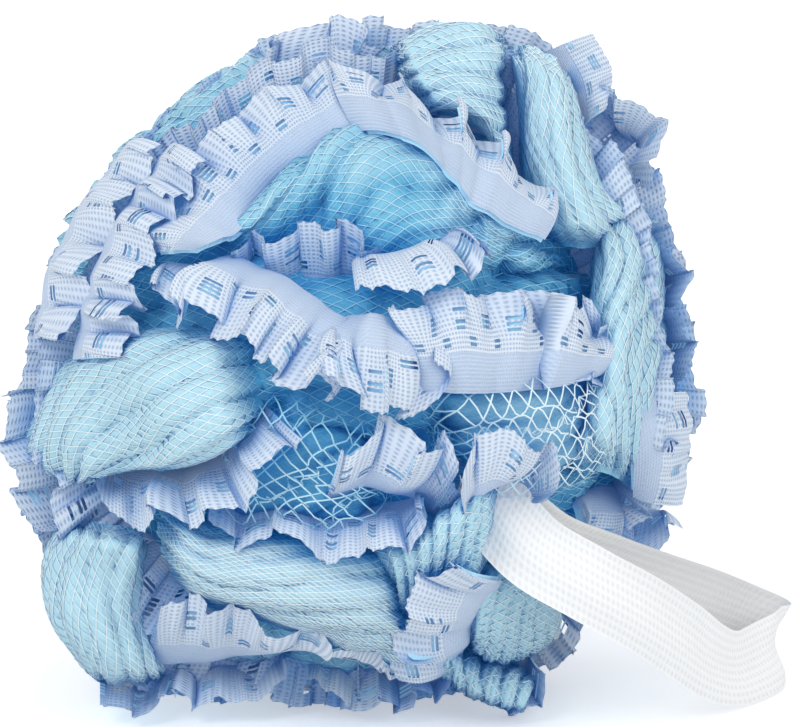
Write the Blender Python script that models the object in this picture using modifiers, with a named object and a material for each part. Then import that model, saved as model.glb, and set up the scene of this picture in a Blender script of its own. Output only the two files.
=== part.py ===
"""Mesh bath pouf: two long strips of netting, each trimmed with lace, gathered round a cord tie, with a ribbon loop.

Metres, +Z up. The pouf rests on its own flattened frills, and the origin is at the middle of that rest spot.
The ball has a front that faces -Y and leans back a little. Places on it are given across, up and out of that front.
"""

import math

import bpy
import numpy as np

# Driving dimensions
BALL_RADIUS = 0.070  # to the free edge of the lace
FRONT_LEAN_DEG = 15.0
FRONT_FLATTENING = 0.005  # how much nearer the middle of the front lies than on a true ball
FLATTENING_START = 0.5  # the share of the ball's radius where the flattening begins

NET_THICKNESS = 0.0008
LACE_THICKNESS = 0.0009
LACE_WIDTH = 0.019
SEAM_GAP = 0.0004

TIE_RADIUS = 0.012
TIE_CORD_RADIUS = 0.0015
TIE_TURNS = 7
TIE_SIDES = 12
TIE_FLAT_DEG = 40.0  # each cord turn is shown by one flat band, this far to each side of its crest
TIE_CLEARANCE = 0.0004

RIBBON_WIDTH = 0.015
RIBBON_THICKNESS = 0.0009
RIBBON_TAIL_WIDTH = 0.0032
RIBBON_TAIL_GAP = 0.0007
RIBBON_STEP = 0.0045
TAIL_REACH = 0.90  # the share of the ball's radius where the ribbon has its full width
TAIL_LEVELS = np.array([0.0, 0.19, 0.38, 0.57, 0.76])  # up the tail, from the tie to the ball's face

FRILL_LENGTH = 0.0208  # one wave of the gathered edge
FRILL_DEPTH = 0.0030
FRILL_POINTS = 4
EDGE_SCALLOP = 0.0011
FRILL_START = 0.45  # the share of the ball's radius where the folds begin, and how fast they grow
FRILL_GROWTH = 1.3
TIGHT_BEND = 7.0  # the strip's bend, in turns of the ball, that halves the frills
BEND_SPREAD = 7  # over how many points of the strip a bend is averaged
EDGE_FLARE = 0.0150  # how far the lace lies over, along the ball
SEAM_FLARE = 0.0035
FLARE_START = 0.55
FLARE_GROWTH = 2.2
FLARE_ACROSS = 0.55  # how much the sheets lie over sideways, against up and down
FLARE_LINE = -0.06  # the height on the ball's front that they lie away from
FLARE_RAMP = 0.30
FLARE_FADE = 0.62
LACE_SHARES = (0.0, 0.62, 1.0)  # across the lace, from its seam to its free edge, with its bend between
END_DIP = 0.008
REST_SOFTNESS = 0.009  # the height over which the floor presses the frills flat
REST_CUT = 0.00025  # worn flat at the very bottom

FRONT_LEAN = math.radians(FRONT_LEAN_DEG)
ACROSS = np.array([1.0, 0.0, 0.0])
UP = np.array([0.0, math.sin(FRONT_LEAN), math.cos(FRONT_LEAN)])
OUT = np.array([0.0, -math.cos(FRONT_LEAN), math.sin(FRONT_LEAN)])
AXES = np.vstack([ACROSS, UP, OUT])
CENTRE_HEIGHT = BALL_RADIUS + EDGE_SCALLOP - REST_SOFTNESS / 2 - REST_CUT
CENTRE = np.array([0.0, 0.0, CENTRE_HEIGHT])
FRONT = np.array([1.0, 1.0, 1.0])
BACK = np.array([-1.0, 1.0, -1.0])  # half a turn about the ball's own up axis

# The strip's way over one side of the ball, across and up from its middle in millimetres, for a 70 mm ball.
# It starts with a ring close to the outline, goes back inside it, then folds to and fro over the middle. The front
# strip leaves room for two swells of netting, and rises into an arch above them.
PATH_BALL_MM = 70.0
OUTER_RING_DEG = 81.5
INNER_RING_DEG = 61.5
OUTER_RING = (-60, -381, -16)  # degrees anticlockwise from +across: first, last and step
INNER_RING = (-374, -105, 16)
FRONT_FOLDS_MM = (
    (-14, -55),
    (-3, -54),
    (8, -51),
    (16, -45),
    (18, -36),
    (13, -28),
    (5, -26),
    (-6, -25),
    (-20, -24),
    (-33, -23),
    (-44, -21),
    (-51, -13),
    (-46, -6),
    (-37, -9),
    (-28, -13),
    (-16, -14),
    (-4, -14),
    (8, -14),
    (20, -15),
    (32, -15),
    (42, -12),
    (48, -4),
    (42, 1),
    (30, 1),
    (18, 1),
    (6, 1),
    (-5, 4),
    (-15, 8),
    (-26, 10),
    (-37, 10),
    (-46, 12),
    (-46, 19),
    (-36, 20),
    (-24, 25),
    (-13, 33),
    (-2, 40),
    (9, 41),
    (18, 36),
    (27, 29),
    (37, 24),
    (45, 21),
    (46, 13),
    (34, 12),
    (22, 13),
    (10, 12),
    (-2, 14),
    (-11, 20),
    (-8, 28),
    (2, 30),
    (11, 27),
    (19, 23),
)
BACK_FOLDS_MM = (
    (-5, -54),
    (8, -51),
    (16, -45),
    (18, -36),
    (13, -27),
    (7, -25),
    (-6, -29),
    (-20, -28),
    (-33, -23),
    (-44, -16),
    (-45, -6),
    (-34, -6),
    (-21, -13),
    (-7, -17),
    (8, -14),
    (22, -11),
    (36, -13),
    (46, -9),
    (46, 1),
    (36, 1),
    (22, -1),
    (8, -4),
    (-7, -6),
    (-21, -2),
    (-34, 4),
    (-42, 11),
    (-33, 15),
    (-21, 10),
    (-7, 6),
    (7, 6),
    (21, 8),
    (35, 11),
    (46, 12),
    (46, 22),
    (36, 21),
    (23, 18),
    (9, 16),
    (-5, 17),
    (-19, 21),
    (-31, 25),
    (-30, 35),
    (-22, 41),
    (-11, 46),
    (1, 47),
    (12, 43),
    (21, 35),
    (31, 31),
    (40, 35),
    (35, 44),
    (24, 50),
    (12, 54),
)

# Where the front netting bellies out between its folds: a line along each side of a swell, across and up
BILLOW_MM = (
    ((-42, -24.5), (-33, -26.5), (-20, -27.5), (-6, -28.5), (4, -29.5), (11, -30.5)),
    ((-29, -54), (-20, -55), (-11, -55), (-2, -54), (6, -52), (13, -48)),
)
MIDDLE_FOLD_MM = (
    ((-46, -6), (-37, -9), (-28, -13), (-16, -14), (-4, -14), (8, -14), (20, -15), (29, -15), (37, -14)),
    ((-46, 12), (-37, 10), (-26, 10), (-15, 8), (-5, 4), (6, 1), (18, 1), (28, 1), (37, 1)),
)
SWELL_RIM = 0.66  # the shares of the ball's radius at which a swell starts, under the seams, and has its crest
SWELL_CREST = 0.97
SWELL_CLEARANCE = 0.0027  # how far it keeps from the folds beside it, which sway there, at the ball's radius
SWELL_STEP = 0.007
SWELL_PROFILE = ((0.0, 0.0), (0.36, 0.72), (1.0, 1.0))  # rim to crest: shares of the way and of the rise
SWELL_ENDS = 0.021  # the length over which it rises at each end

# The pouf's uneven outline, seen from the front: degrees anticlockwise from +across, and how far it reaches there in
# millimetres, for a 70 mm ball
OUTLINE_DEG = (0, 20, 35, 48, 72, 85, 100, 112, 128, 146, 168, 190, 205, 218, 232, 241, 256, 270, 290, 301, 312, 330)
OUTLINE_MM = (70, 68, 73, 75, 73, 66, 67, 64, 60, 60, 62, 69, 72, 75, 80, 79, 71, 69, 73, 77, 70, 70)
OUTLINE_BLUR_DEG = 6.0
OUTLINE_FADE = 0.15  # nearer the middle of the front than this share of the radius, the outline has no effect
OUTLINE_START = 0.18  # nor nearer the centre than this share, from where it grows over the next part
OUTLINE_RAMP = 0.40

# Where the ribbon leaves the ball, and its way outside: across, up and out in millimetres, with the direction
# from its lower to its upper edge
RIBBON_EXIT_MM = (33.0, -31.0)
RIBBON_ROUTE = (
    ((35.5, -36.8, 43.5), (0.46, 0.89, 0.0)),
    ((46.5, -43.5, 41.8), (0.46, 0.89, 0.05)),
    ((57.0, -49.3, 35.0), (0.47, 0.88, 0.0)),
    ((65.5, -55.0, 25.0), (0.45, 0.86, -0.10)),
    ((71.5, -59.5, 15.0), (0.35, 0.88, -0.25)),
    ((76.8, -61.5, 5.5), (0.12, 0.92, -0.30)),
    ((82.3, -60.4, -3.0), (-0.15, 0.98, -0.15)),
    ((86.0, -58.0, -10.0), (-0.10, 1.00, 0.00)),
    ((85.0, -55.3, -15.5), (0.00, 1.00, 0.00)),
    ((79.0, -52.3, -13.0), (0.15, 0.98, 0.00)),
    ((70.0, -48.7, -0.5), (0.35, 0.93, 0.05)),
    ((60.0, -45.0, 16.5), (0.45, 0.89, 0.05)),
    ((49.5, -41.0, 32.0), (0.46, 0.89, 0.0)),
    ((38.5, -36.4, 40.5), (0.46, 0.89, 0.0)),
)

AQUA = (0.27, 0.62, 0.78)
LILAC_WHITE = (0.66, 0.73, 0.88)
RIBBON_WHITE = (0.84, 0.84, 0.83)


def unit(vectors):
    return vectors / np.linalg.norm(vectors, axis=-1, keepdims=True)


def smooth_step(value):
    value = np.clip(value, 0.0, 1.0)
    return value * value * (3.0 - 2.0 * value)


def clear_scene():
    for thing in list(bpy.data.objects):
        bpy.data.objects.remove(thing, do_unlink=True)


def material(name, colour, roughness):
    made = bpy.data.materials.new(name)
    made.use_nodes = True
    shader = made.node_tree.nodes["Principled BSDF"]
    shader.inputs["Base Color"].default_value = (*colour, 1.0)
    shader.inputs["Roughness"].default_value = roughness
    shader.inputs["Metallic"].default_value = 0.0
    return made


def spline(points, spacing=None, count=None):
    """Points along a smooth curve through the given ones: one every spacing, or count steps in all."""
    padded = np.vstack([2 * points[0] - points[1], points, 2 * points[-1] - points[-2]])
    steps = np.linspace(0.0, 1.0, 40, endpoint=False)[:, None]
    fine = []
    for before, start, end, after in zip(padded, padded[1:], padded[2:], padded[3:]):
        fine.append(
            0.5
            * (
                2 * start
                + (end - before) * steps
                + (2 * before - 5 * start + 4 * end - after) * steps**2
                + (3 * start - before - 3 * end + after) * steps**3
            )
        )
    fine = np.vstack([*fine, points[-1:]])
    lengths = np.linalg.norm(np.diff(fine[:, :3], axis=0), axis=1)
    along = np.concatenate([[0.0], np.cumsum(lengths)])
    count = count or max(2, round(along[-1] / spacing))
    wanted = np.linspace(0.0, along[-1], count + 1)
    return np.column_stack([np.interp(wanted, along, column) for column in fine.T])


def ring_points(polar_deg, sweep):
    angles = np.radians(np.arange(*sweep))
    reach = PATH_BALL_MM * math.sin(math.radians(polar_deg))
    return np.column_stack([reach * np.cos(angles), reach * np.sin(angles)])


def front_directions(places_mm):
    """Unit directions from the ball's centre to places across and up its front, in its own frame."""
    flat = np.asarray(places_mm, float) / PATH_BALL_MM
    depth = np.sqrt(np.clip(1.0 - (flat**2).sum(axis=1), 0.0, 1.0))
    return np.column_stack([flat, depth])


def strip_directions(inner_folds_mm):
    places = np.vstack(
        [
            ring_points(OUTER_RING_DEG, OUTER_RING),
            ring_points(INNER_RING_DEG, INNER_RING),
            np.asarray(inner_folds_mm, float),
        ]
    )
    curve = spline(front_directions(places), FRILL_LENGTH / FRILL_POINTS / BALL_RADIUS)
    return unit(curve)


def flare_angle(level):
    """How far a sheet has lain over, as an angle, at a distance from the ball's centre."""
    share = np.clip((level / BALL_RADIUS - FLARE_START) / (1.0 - FLARE_START), 0.0, 1.0)
    seam = SEAM_FLARE / BALL_RADIUS
    return seam * share + (EDGE_FLARE / BALL_RADIUS - seam) * share**FLARE_GROWTH


def flare_fade(directions):
    """The sheets stand straight out again towards the ball's outline."""
    return smooth_step(directions[:, 2] / FLARE_FADE)


def flare_field(directions):
    """Which way, and how strongly, the sheets lie over at each direction: away from a level line at mid height."""
    across, up = directions[:, 0], directions[:, 1]
    pull = np.column_stack([FLARE_ACROSS * across, up - FLARE_LINE, np.zeros_like(up)])
    size = np.linalg.norm(pull, axis=1, keepdims=True)
    pull = pull / np.maximum(size, 1e-9) * smooth_step(size / FLARE_RAMP)
    pull = pull * flare_fade(directions)[:, None]
    return pull - (pull * directions).sum(axis=1, keepdims=True) * directions


def outline_growth(points):
    """How much further than a true ball the pouf reaches at points, as a share."""
    degrees = np.degrees(np.arctan2(points[:, 1], points[:, 0]))
    turns = (-OUTLINE_BLUR_DEG, 0.0, OUTLINE_BLUR_DEG)
    reach = [np.interp(degrees + turn, OUTLINE_DEG, OUTLINE_MM, period=360.0) for turn in turns]
    from_middle = np.hypot(points[:, 0], points[:, 1]) / np.linalg.norm(points, axis=1)
    return (np.mean(reach, axis=0) / PATH_BALL_MM - 1.0) * smooth_step(from_middle - OUTLINE_FADE)


def shape_ball(points, level):
    """From a true ball to the pouf's own shape: an uneven outline, and a front that is a little flat."""
    points = points.copy()
    ahead = smooth_step(points[:, 2] / level)
    outer = np.clip((level / BALL_RADIUS - FLATTENING_START) / (1.0 - FLATTENING_START), 0.0, 1.0)
    grown = smooth_step((level / BALL_RADIUS - OUTLINE_START) / OUTLINE_RAMP)
    points[:, :2] *= 1.0 + (outline_growth(points) * grown)[:, None]
    points[:, 2] -= FRONT_FLATTENING * ahead * outer
    return points


def place(directions, level, facing):
    """Where a direction's sheet lies at a distance from the centre, in the pouf's own frame."""
    leaning = unit(directions + flare_field(directions) * flare_angle(level)[:, None])
    return settle(shape_ball(leaning * level[:, None] * facing, level) @ AXES + CENTRE)


def settle(points):
    """The floor presses flat what would hang below it, more softly the higher it is."""
    points = points.copy()
    over_lowest = np.maximum(points[:, 2] - (CENTRE_HEIGHT - BALL_RADIUS - EDGE_SCALLOP), 0.0)
    pressed = over_lowest**2 / (2.0 * REST_SOFTNESS) - REST_CUT
    points[:, 2] = np.where(over_lowest < REST_SOFTNESS, pressed, points[:, 2])
    return points


def strip_rows(directions, facing):
    """Rows of points along a strip, from its gathered root to its seam, and from its seam to its free edge."""
    count = len(directions)
    tangent = unit(np.gradient(directions, axis=0))
    side = unit(np.cross(directions, tangent))
    phase = np.arange(count) * 2.0 * math.pi / FRILL_POINTS + math.pi / 4
    turn = np.linalg.norm(np.gradient(tangent, axis=0), axis=1)
    bend = turn * FRILL_POINTS * BALL_RADIUS / FRILL_LENGTH
    bend = np.convolve(np.pad(bend, BEND_SPREAD // 2, mode="edge"), np.ones(BEND_SPREAD), mode="valid")
    tight = 1.0 / (1.0 + (bend / BEND_SPREAD / TIGHT_BEND) ** 2)
    from_end = np.minimum(np.arange(count), np.arange(count)[::-1]) / FRILL_POINTS
    dip = END_DIP * (1.0 - smooth_step(from_end))
    edge = BALL_RADIUS - dip + EDGE_SCALLOP * np.cos(phase * 0.5)
    travel = (EDGE_FLARE - SEAM_FLARE) * flare_fade(directions)
    seam = edge - np.sqrt(LACE_WIDTH**2 - travel**2)

    def row(level):
        share = np.clip((level / BALL_RADIUS - FRILL_START) / (1.0 - FRILL_START), 0.0, 1.0)
        swing = FRILL_DEPTH / BALL_RADIUS * share**FRILL_GROWTH * tight * np.sin(phase)
        return place(unit(directions + side * swing[:, None]), level, facing)

    root = np.full(count, TIE_RADIUS + TIE_CLEARANCE)
    start = seam + SEAM_GAP
    net = [row(root), row(seam)]
    lace = [row(start + share * (edge - start)) for share in LACE_SHARES]
    return net, lace


def swell_rows(sides_mm):
    """Rows of points over a stretch of netting that bellies out between two folds."""
    first = unit(spline(front_directions(sides_mm[0]), SWELL_STEP / BALL_RADIUS))
    last = unit(spline(front_directions(sides_mm[1]), count=len(first) - 1))
    width = np.linalg.norm(last - first, axis=1) * BALL_RADIUS
    from_end = np.minimum(np.arange(len(first)), np.arange(len(first))[::-1]) * SWELL_STEP / SWELL_ENDS
    crest = SWELL_RIM + (SWELL_CREST - SWELL_RIM) * smooth_step(from_end)
    there = []
    for way, rise in SWELL_PROFILE:
        away = SWELL_CLEARANCE + way * (width / 2 - SWELL_CLEARANCE)
        there.append((away / width, rise))
    back = [(1.0 - share, rise) for share, rise in there[-2::-1]]
    rows = []
    for share, rise in there + back:
        toward = unit(first + (last - first) * share[:, None])
        level = SWELL_RIM + (crest - SWELL_RIM) * rise
        rows.append(place(toward, level * BALL_RADIUS, FRONT))
    return rows


def rest_origin(lace):
    """The middle of the stretch of free edge that the pouf's middle stands on."""
    edge = lace[-1]
    middles = (edge[1:] + edge[:-1]) / 2
    low = middles[middles[:, 2] < middles[:, 2].min() + REST_CUT / 2]
    nearest = low[np.argmin(np.hypot(low[:, 0], low[:, 1]))]
    return np.array([nearest[0], nearest[1], 0.0])


def sheet(name, rows, origin, thickness, finish, group):
    """One thin closed sheet through rows of points. Triangles keep both faces of a steep fold alike."""
    points = (np.stack(rows) - origin).reshape(-1, 3)
    along = len(rows[0])
    corners = []
    for i in range(len(rows) - 1):
        for j in range(along - 1):
            first = i * along + j
            corners.append((first, first + 1, first + along + 1))
            corners.append((first, first + along + 1, first + along))
    mesh = bpy.data.meshes.new(name)
    mesh.from_pydata(points.tolist(), [], corners)
    mesh.update()
    thing = bpy.data.objects.new(name, mesh)
    group.objects.link(thing)
    mesh.materials.append(finish)
    shell = thing.modifiers.new("thickness", "SOLIDIFY")
    shell.thickness = thickness
    shell.offset = 0.0
    shell.use_rim = True
    mesh.shade_smooth()
    return thing


def centre_tie(origin, finish, group):
    """Cord wound round the gathered roots: a turned stack of cord turns that fills a small ball."""
    mesh = bpy.data.meshes.new("centre_tie")
    reach = TIE_RADIUS - TIE_CORD_RADIUS
    band = math.radians(TIE_FLAT_DEG)
    outline = [(0.0, 0.0, TIE_RADIUS)]
    for height in np.linspace(reach, -reach, TIE_TURNS):
        radius = max(math.sqrt(max(reach**2 - height**2, 0.0)), TIE_CORD_RADIUS)
        for tilt in (band, -band):
            outline.append(
                (radius + TIE_CORD_RADIUS * math.cos(tilt), 0.0, height + TIE_CORD_RADIUS * math.sin(tilt))
            )
    outline.append((0.0, 0.0, -TIE_RADIUS))
    edges = [(i, i + 1) for i in range(len(outline) - 1)]
    mesh.from_pydata(outline, edges, [])
    thing = bpy.data.objects.new("centre_tie", mesh)
    group.objects.link(thing)
    mesh.materials.append(finish)
    turned = thing.modifiers.new("turned", "SCREW")
    turned.steps = TIE_SIDES
    turned.render_steps = TIE_SIDES
    turned.use_merge_vertices = True
    turned.merge_threshold = 0.0001
    thing.location = CENTRE - origin
    thing.rotation_euler = (0.0, math.radians(90.0), 0.0)
    return thing


def ribbon_rows():
    """The ribbon's two edges, from one tail at the tie, round the loop on the floor, to the other tail."""
    channel = front_directions([RIBBON_EXIT_MM] * len(TAIL_LEVELS))
    levels = TIE_RADIUS + TIE_CLEARANCE + TAIL_LEVELS * (BALL_RADIUS - TIE_RADIUS)
    leaning = unit(channel + flare_field(channel) * flare_angle(levels)[:, None])
    outside = np.asarray(RIBBON_ROUTE, float).reshape(-1, 6)
    outside[:, :3] *= BALL_RADIUS / PATH_BALL_MM
    edge_way = unit(outside[0, 3:])
    tail = np.column_stack([leaning * levels[:, None], np.tile(edge_way, (len(levels), 1))])
    apart = (RIBBON_THICKNESS + RIBBON_TAIL_GAP) / 2 * (1.0 + TAIL_LEVELS)
    aside = np.zeros_like(tail)
    aside[:, :3] = unit(np.cross(channel[0], edge_way)) * apart[:, None]
    curve = spline(np.vstack([tail + aside, outside, (tail - aside)[::-1]]), RIBBON_STEP)
    middle = curve[:, :3]
    running = unit(np.gradient(middle, axis=0))
    edge_way = unit(curve[:, 3:] - (curve[:, 3:] * running).sum(axis=1, keepdims=True) * running)
    reach = np.linalg.norm(middle, axis=1)
    widen = smooth_step((reach - TIE_RADIUS) / (TAIL_REACH * BALL_RADIUS - TIE_RADIUS))
    half = 0.5 * (RIBBON_TAIL_WIDTH + (RIBBON_WIDTH - RIBBON_TAIL_WIDTH) * widen)
    rows = np.stack([(middle + edge_way * (half * side)[:, None]) @ AXES + CENTRE for side in (-1.0, 1.0)])
    lowest = rows[:, :, 2].min(axis=0)
    rows[:, :, 2] += np.maximum(RIBBON_THICKNESS / 2 - lowest, 0.0)
    return rows


def floor_block(group):
    bpy.ops.mesh.primitive_cube_add(size=4.0 * BALL_RADIUS, location=(0.0, 0.0, -2.0 * BALL_RADIUS))
    block = bpy.context.object
    block.name = "floor_cutter"
    for home in list(block.users_collection):
        home.objects.unlink(block)
    group.objects.link(block)
    block.hide_render = True
    block.display_type = "WIRE"
    return block


def worn_flat(thing, block):
    cut = thing.modifiers.new("worn_flat", "BOOLEAN")
    cut.operation = "DIFFERENCE"
    cut.object = block


def build():
    clear_scene()
    group = bpy.data.collections.new("mesh_bath_pouf")
    cutters = bpy.data.collections.new("cutters")
    for made in (group, cutters):
        bpy.context.scene.collection.children.link(made)
    net_finish = material("aqua_netting", AQUA, 0.45)
    lace_finish = material("lilac_lace", LILAC_WHITE, 0.6)
    ribbon_finish = material("white_ribbon", RIBBON_WHITE, 0.6)
    front_net, front_lace = strip_rows(strip_directions(FRONT_FOLDS_MM), FRONT)
    back_net, back_lace = strip_rows(strip_directions(BACK_FOLDS_MM), BACK)
    origin = rest_origin(back_lace)
    block = floor_block(cutters)
    sheet("front_netting", front_net, origin, NET_THICKNESS, net_finish, group)
    for name, sides in (("front_billow", BILLOW_MM), ("front_middle_fold", MIDDLE_FOLD_MM)):
        sheet(name, swell_rows(sides), origin, NET_THICKNESS, net_finish, group)
    sheet("back_netting", back_net, origin, NET_THICKNESS, net_finish, group)
    worn_flat(sheet("front_lace_trim", front_lace, origin, LACE_THICKNESS, lace_finish, group), block)
    worn_flat(sheet("back_lace_trim", back_lace, origin, LACE_THICKNESS, lace_finish, group), block)
    centre_tie(origin, ribbon_finish, group)
    sheet("hanging_loop", ribbon_rows(), origin, RIBBON_THICKNESS, ribbon_finish, group)


build()
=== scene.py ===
"""Looks of the mesh bath pouf: netting and lace gathered round a cord tie, with a ribbon to hang it by."""

import math

import bpy
import numpy as np
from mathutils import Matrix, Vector


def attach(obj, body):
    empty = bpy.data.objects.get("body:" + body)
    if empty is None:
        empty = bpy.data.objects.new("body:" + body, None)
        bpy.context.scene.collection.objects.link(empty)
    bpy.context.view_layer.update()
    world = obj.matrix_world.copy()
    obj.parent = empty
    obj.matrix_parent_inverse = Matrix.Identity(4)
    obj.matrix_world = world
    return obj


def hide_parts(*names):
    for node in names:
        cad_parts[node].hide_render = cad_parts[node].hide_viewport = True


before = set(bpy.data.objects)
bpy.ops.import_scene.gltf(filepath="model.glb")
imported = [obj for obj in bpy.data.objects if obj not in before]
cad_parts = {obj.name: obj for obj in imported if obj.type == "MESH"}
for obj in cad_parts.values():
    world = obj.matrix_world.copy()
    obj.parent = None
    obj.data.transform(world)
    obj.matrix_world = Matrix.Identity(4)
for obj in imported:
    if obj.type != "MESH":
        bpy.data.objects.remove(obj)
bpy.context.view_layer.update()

# The studio
# A plain pale floor under soft light. The camera looks straight at the pouf's front, which leans back 15 degrees,
# so that across and up on the front are across and up in the picture.
CENTRE = np.array([0.0024, 0.00636, 0.06635])
LEAN = math.radians(15.0)
ACROSS = np.array([1.0, 0.0, 0.0])
UP = np.array([0.0, math.sin(LEAN), math.cos(LEAN)])
OUT = np.array([0.0, -math.cos(LEAN), math.sin(LEAN)])
AXES = np.vstack([ACROSS, UP, OUT])
VIEW_WIDTH = 0.160
VIEW_DISTANCE = 1.6
VIEW_SHIFT = np.array([0.01, -0.0007, 0.0])
SENSOR_MM = 36.0


def make_camera():
    seen = bpy.data.cameras.new("camera")
    seen.sensor_width = SENSOR_MM
    seen.lens = SENSOR_MM * VIEW_DISTANCE / VIEW_WIDTH
    seen.clip_end = 20.0
    eye = bpy.data.objects.new("camera", seen)
    bpy.context.scene.collection.objects.link(eye)
    place = CENTRE + (VIEW_SHIFT + [0.0, 0.0, VIEW_DISTANCE]) @ AXES
    matrix = np.eye(4)
    matrix[:3, 0], matrix[:3, 1], matrix[:3, 2], matrix[:3, 3] = ACROSS, UP, OUT, place
    eye.matrix_world = matrix.T.tolist()
    bpy.context.scene.camera = eye


def soft_lamp(name, place, size, watts):
    lamp = bpy.data.lights.new(name, "AREA")
    lamp.shape = "DISK"
    lamp.size = size
    lamp.energy = watts
    thing = bpy.data.objects.new(name, lamp)
    bpy.context.scene.collection.objects.link(thing)
    thing.location = place
    thing.rotation_euler = Vector(np.array(place) - CENTRE).to_track_quat("Z", "Y").to_euler()


def white_room():
    world = bpy.data.worlds.new("room")
    bpy.context.scene.world = world
    world.use_nodes = True
    nodes, links = world.node_tree.nodes, world.node_tree.links
    nodes.clear()
    lit = nodes.new("ShaderNodeBackground")
    lit.inputs["Color"].default_value = (0.97, 0.985, 1.0, 1.0)
    lit.inputs["Strength"].default_value = 0.62
    seen = nodes.new("ShaderNodeBackground")
    seen.inputs["Color"].default_value = (1.0, 1.0, 1.0, 1.0)
    rays = nodes.new("ShaderNodeLightPath")
    plain_white = rays.outputs["Is Camera Ray"]
    for kind in ("Is Glossy Ray", "Is Transmission Ray"):
        either = nodes.new("ShaderNodeMath")
        either.operation = "MAXIMUM"
        links.new(plain_white, either.inputs[0])
        links.new(rays.outputs[kind], either.inputs[1])
        plain_white = either.outputs[0]
    chosen = nodes.new("ShaderNodeMixShader")
    out = nodes.new("ShaderNodeOutputWorld")
    links.new(plain_white, chosen.inputs["Fac"])
    links.new(lit.outputs[0], chosen.inputs[1])
    links.new(seen.outputs[0], chosen.inputs[2])
    links.new(chosen.outputs[0], out.inputs["Surface"])


def new_finish(name, roughness, gloss=0.5, sheen=0.0):
    """A new material and its shader."""
    made = bpy.data.materials.new(name)
    made.use_nodes = True
    shader = made.node_tree.nodes["Principled BSDF"]
    shader.inputs["Roughness"].default_value = roughness
    shader.inputs["Specular IOR Level"].default_value = gloss
    shader.inputs["Sheen Weight"].default_value = sheen
    return made, shader


def pale_floor():
    bpy.ops.mesh.primitive_plane_add(size=12.0, location=(0.0, 0.0, 0.0))
    floor = bpy.context.object
    floor.name = "floor"
    paper, shader = new_finish("floor_paper", 0.9, gloss=0.1)
    nodes, links = paper.node_tree.nodes, paper.node_tree.links
    shader.inputs["Base Color"].default_value = (0.86, 0.87, 0.88, 1.0)
    shader.inputs["Emission Color"].default_value = (1.0, 1.0, 1.0, 1.0)
    rays = nodes.new("ShaderNodeLightPath")
    glow = nodes.new("ShaderNodeMath")
    glow.operation = "MULTIPLY"
    glow.inputs[1].default_value = 0.42
    links.new(rays.outputs["Is Camera Ray"], glow.inputs[0])
    links.new(glow.outputs[0], shader.inputs["Emission Strength"])
    floor.data.materials.append(paper)


bpy.context.scene.view_settings.view_transform = "Standard"
make_camera()
white_room()
pale_floor()
soft_lamp("key_lamp", (-0.75, -1.15, 1.25), size=0.8, watts=10.0)
soft_lamp("fill_lamp", (1.1, -0.9, 0.7), size=1.2, watts=4.5)
soft_lamp("back_lamp", (0.2, 1.3, 1.0), size=1.2, watts=5.0)


# The cord tie
# Cotton cord wound tight round the gathered middle of both nettings, and knotted there. It lies deep inside, so it
# keeps its solid and takes the finish of twisted cord.
def ramp(made, source, stops):
    """Colours that run through the stops as the source goes from 0 to 1."""
    node = made.node_tree.nodes.new("ShaderNodeValToRGB")
    band = node.color_ramp
    while len(band.elements) < len(stops):
        band.elements.new(0.5)
    for element, (place, colour) in zip(band.elements, stops):
        element.position = place
        element.color = (*colour, 1.0)
    made.node_tree.links.new(source, node.inputs["Fac"])
    return node.outputs["Color"]


def raise_threads(made, height, strength, distance):
    """Lets the light catch threads that rise by a distance in metres where the height is 1."""
    nodes, links = made.node_tree.nodes, made.node_tree.links
    bump = nodes.new("ShaderNodeBump")
    bump.inputs["Strength"].default_value = strength
    bump.inputs["Distance"].default_value = distance
    links.new(height, bump.inputs["Height"])
    links.new(bump.outputs["Normal"], nodes["Principled BSDF"].inputs["Normal"])


def cord_finish():
    made, shader = new_finish("tie_cord", 0.8)
    nodes, links = made.node_tree.nodes, made.node_tree.links
    where = nodes.new("ShaderNodeTexCoord")
    twist = nodes.new("ShaderNodeTexWave")
    twist.inputs["Scale"].default_value = 260.0
    twist.inputs["Distortion"].default_value = 2.0
    links.new(where.outputs["Object"], twist.inputs["Vector"])
    # Painted shade: the cord is darker and bluer where the twist's bump is low, in its grooves.
    painted_groove_shade = ramp(made, twist.outputs["Fac"], ((0.0, (0.55, 0.66, 0.78)), (1.0, (0.86, 0.9, 0.93))))
    links.new(painted_groove_shade, shader.inputs["Base Color"])
    raise_threads(made, twist.outputs["Fac"], 1.0, 0.0004)
    return made


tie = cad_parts["centre_tie"]
for place in tie.material_slots:
    place.material = cord_finish()


# The netting bunched inside
# The inner part of both nettings, aqua knitted plastic. The tie pulls it into one crumple of folds, seen in the
# gaps between the nettings' outer folds. Its deep blue is painted shade: it lies deep inside, under them.
BALL = 0.070
TIE_REACH = 0.0124
HEART_RADIUS, HEART_FOLD, HEART_FOLDS = 0.043, 0.0075, 13.0
HEART_COLUMNS, HEART_ROWS, HEART_POLE = 181, 90, 0.06
HEART_CALM = 0.6
OUTLINE_DEG = (
    0, 20, 35, 48, 72, 85, 100, 112, 128, 146, 168, 190, 205, 218, 232, 241, 256, 270, 290, 301, 312, 330
)  # fmt: skip
OUTLINE_MM = (70, 68, 73, 75, 73, 66, 67, 64, 60, 60, 62, 69, 72, 75, 80, 79, 71, 69, 73, 77, 70, 70)
OUTLINE_BLUR_DEG = 6.0
OUTLINE_START, OUTLINE_RAMP, OUTLINE_FADE = 0.18, 0.4, 0.15
FRONT_FLATTENING, FLATTENING_START = 0.005, 0.5
REST_HEIGHT, REST_SOFTNESS = -0.00475, 0.009
LOWEST = 0.0002
DRIFT_WAVES, DRIFT_SPREAD, DRIFT_SIZE = 4, (0.6, 1.9), 0.4
CREVICE_SAMPLES, CREVICE_DARK = 4, 0.15


def unit(vectors):
    return vectors / np.maximum(np.linalg.norm(vectors, axis=-1, keepdims=True), 1e-12)


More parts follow.
